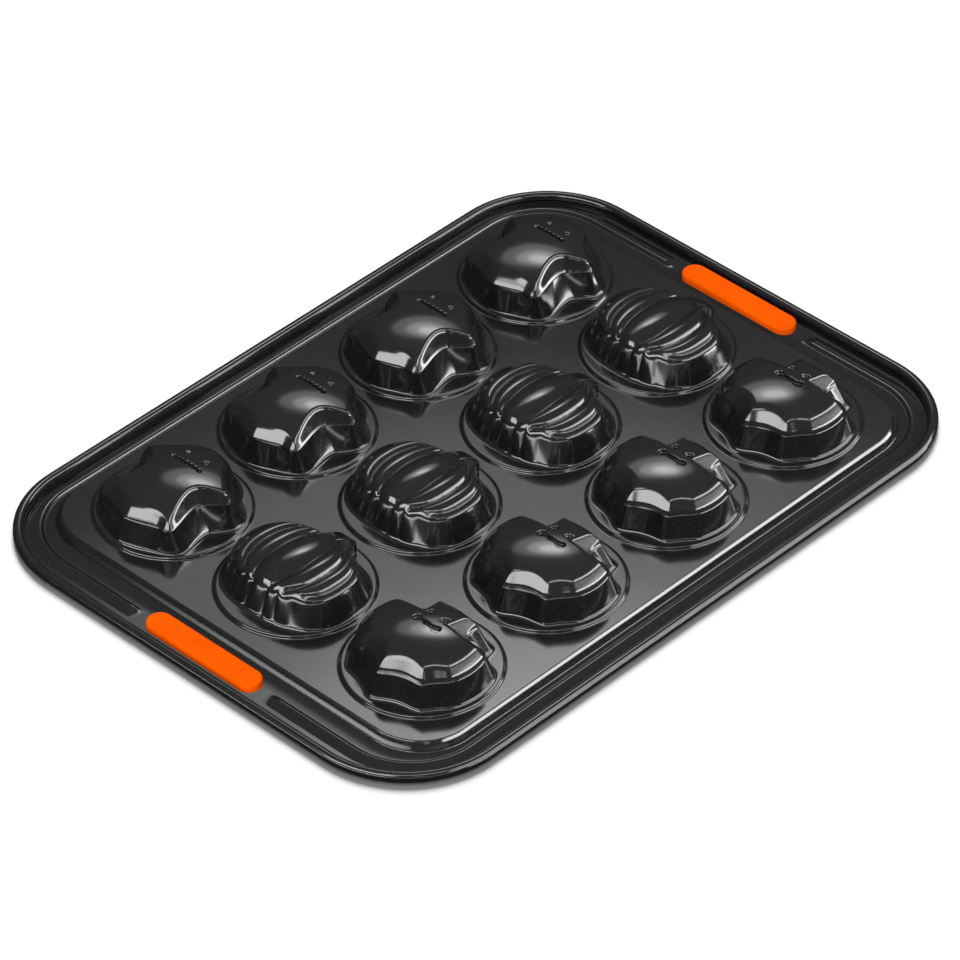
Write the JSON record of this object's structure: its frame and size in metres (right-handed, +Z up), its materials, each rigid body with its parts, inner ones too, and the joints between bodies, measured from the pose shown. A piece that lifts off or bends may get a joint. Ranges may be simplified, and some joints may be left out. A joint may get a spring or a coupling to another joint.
{
  "type": "shaped cup baking pan",
  "caption": "Shallow metal baking pan lying face down: rows of ghost, pumpkin and bat cups pressed in a dark nonstick deck, with a wired rolled rim and soft orange end grips.",
  "frame": {"origin": "centre of the pan in plan, on the plane that the rolled rim and grips rest on", "axes": "+X along the pan's length towards the tops of the figures, +Y across it towards the ghost row, +Z up from the resting plane to the crowns of the cups, whose mouths face down as pictured"},
  "size_m": [0.3864, 0.2818, 0.0293],
  "materials": {
    "nonstick_steel": "dark grey satin nonstick coating with a fine speckle, on drawn steel sheet",
    "silicone": "smooth matt moulded silicone",
    "wire_steel": "plain drawn wire, hidden in the rim"
  },
  "bodies": {
    "root": {"pan_frame": "nonstick_steel", "cup_ghost_1": "nonstick_steel", "cup_ghost_2": "nonstick_steel", "cup_ghost_3": "nonstick_steel", "cup_ghost_4": "nonstick_steel", "cup_pumpkin_1": "nonstick_steel", "cup_pumpkin_2": "nonstick_steel", "cup_pumpkin_3": "nonstick_steel", "cup_pumpkin_4": "nonstick_steel", "cup_bat_1": "nonstick_steel", "cup_bat_2": "nonstick_steel", "cup_bat_3": "nonstick_steel", "cup_bat_4": "nonstick_steel", "rim_wire": "wire_steel", "grip_left": "silicone", "grip_right": "silicone"}
  },
  "joints": []
}
